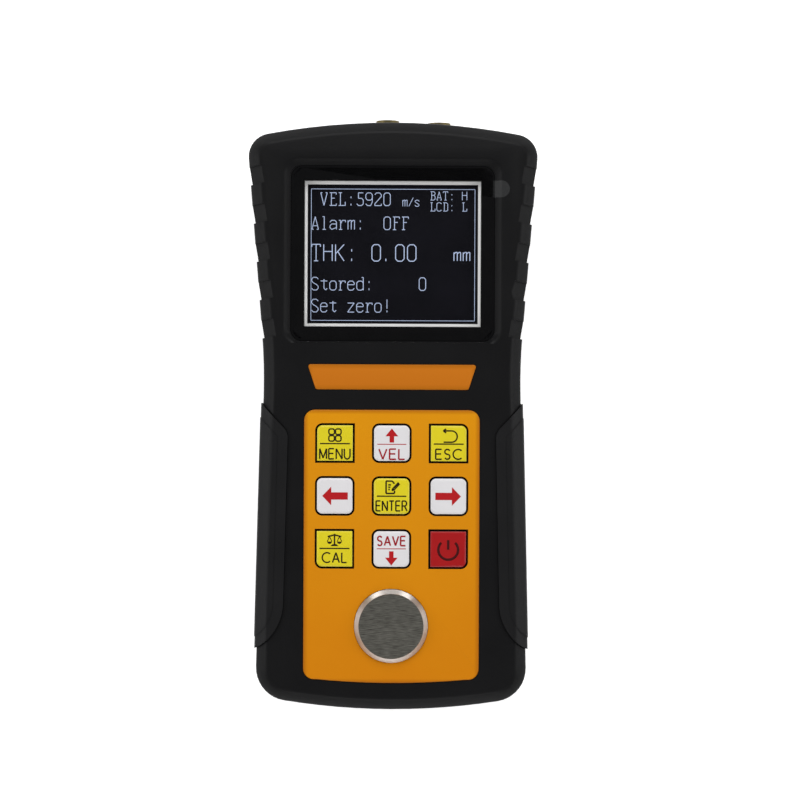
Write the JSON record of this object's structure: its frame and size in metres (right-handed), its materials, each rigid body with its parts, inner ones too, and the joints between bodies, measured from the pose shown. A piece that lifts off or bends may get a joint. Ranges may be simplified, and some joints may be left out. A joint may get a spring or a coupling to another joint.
{
  "type": "ultrasonic thickness gauge",
  "caption": "Handheld ultrasonic thickness gauge: waisted black case with rubber side grips, recessed display, square push keys on an orange fascia, round test block and probe sockets.",
  "frame": {"origin": "middle of the flat back, on which the gauge lies", "axes": "+Y along the case towards the probe sockets, +Z out of the front face, +X to the right of the display"},
  "size_m": [0.1, 0.2044, 0.035],
  "materials": {
    "case": "fine matt texture",
    "grip": "soft matt",
    "steel": "plain",
    "turned_steel": "lapped face, turned rim",
    "lens": "glossy",
    "film": "clear, a little hazy",
    "white_plastic": "plain",
    "panel": "dark",
    "name_plate": "satin print",
    "fascia": "satin print",
    "key_yellow": "satin",
    "key_white": "satin",
    "key_red": "satin",
    "board": "solder mask",
    "dark_plastic": "plain",
    "gilt": "plated",
    "lead": "plain",
    "cell": "plain sleeve"
  },
  "bodies": {
    "case": {"front_shell": "case", "rear_shell": "case", "grip_left": "grip", "grip_right": "grip", "case_screws": "steel", "display_lens": "lens", "screen_film": "film", "display_frame": "white_plastic", "display_panel": "panel", "name_plate": "name_plate", "fascia_plate": "fascia", "test_block": "turned_steel", "main_board": "board", "board_chips": "dark_plastic", "key_switches": "dark_plastic", "alarm_sounder": "dark_plastic", "board_screws": "steel", "socket_left": "gilt", "socket_right": "gilt", "socket_nuts": "steel", "socket_insulators": "white_plastic", "socket_contacts": "gilt", "socket_leads": "lead", "battery_left": "cell", "battery_right": "cell", "battery_springs": "steel", "battery_plates": "steel"},
    "key_menu": {"key_menu": "key_yellow"},
    "key_up": {"key_up": "key_white"},
    "key_escape": {"key_escape": "key_yellow"},
    "key_left": {"key_left": "key_white"},
    "key_enter": {"key_enter": "key_yellow"},
    "key_right": {"key_right": "key_white"},
    "key_calibrate": {"key_calibrate": "key_yellow"},
    "key_down": {"key_down": "key_white"},
    "key_power": {"key_power": "key_red"},
    "battery_door_body": {"battery_door": "case"}
  },
  "joints": [
    {"name": "key_menu_press", "type": "slide", "parent": "case", "child": "key_menu", "axis": [0, 0, -1], "range_m": [0, 0.0005], "stiffness_N_per_m": 800},
    {"name": "key_up_press", "type": "slide", "parent": "case", "child": "key_up", "axis": [0, 0, -1], "range_m": [0, 0.0005], "stiffness_N_per_m": 800},
    {"name": "key_escape_press", "type": "slide", "parent": "case", "child": "key_escape", "axis": [0, 0, -1], "range_m": [0, 0.0005], "stiffness_N_per_m": 800},
    {"name": "key_left_press", "type": "slide", "parent": "case", "child": "key_left", "axis": [0, 0, -1], "range_m": [0, 0.0005], "stiffness_N_per_m": 800},
    {"name": "key_enter_press", "type": "slide", "parent": "case", "child": "key_enter", "axis": [0, 0, -1], "range_m": [0, 0.0005], "stiffness_N_per_m": 800},
    {"name": "key_right_press", "type": "slide", "parent": "case", "child": "key_right", "axis": [0, 0, -1], "range_m": [0, 0.0005], "stiffness_N_per_m": 800},
    {"name": "key_calibrate_press", "type": "slide", "parent": "case", "child": "key_calibrate", "axis": [0, 0, -1], "range_m": [0, 0.0005], "stiffness_N_per_m": 800},
    {"name": "key_down_press", "type": "slide", "parent": "case", "child": "key_down", "axis": [0, 0, -1], "range_m": [0, 0.0005], "stiffness_N_per_m": 800},
    {"name": "key_power_press", "type": "slide", "parent": "case", "child": "key_power", "axis": [0, 0, -1], "range_m": [0, 0.0005], "stiffness_N_per_m": 800},
    {"name": "battery_door_slide", "type": "slide", "parent": "case", "child": "battery_door_body", "axis": [0, -1, 0], "range_m": [0, 0.078]}
  ]
}
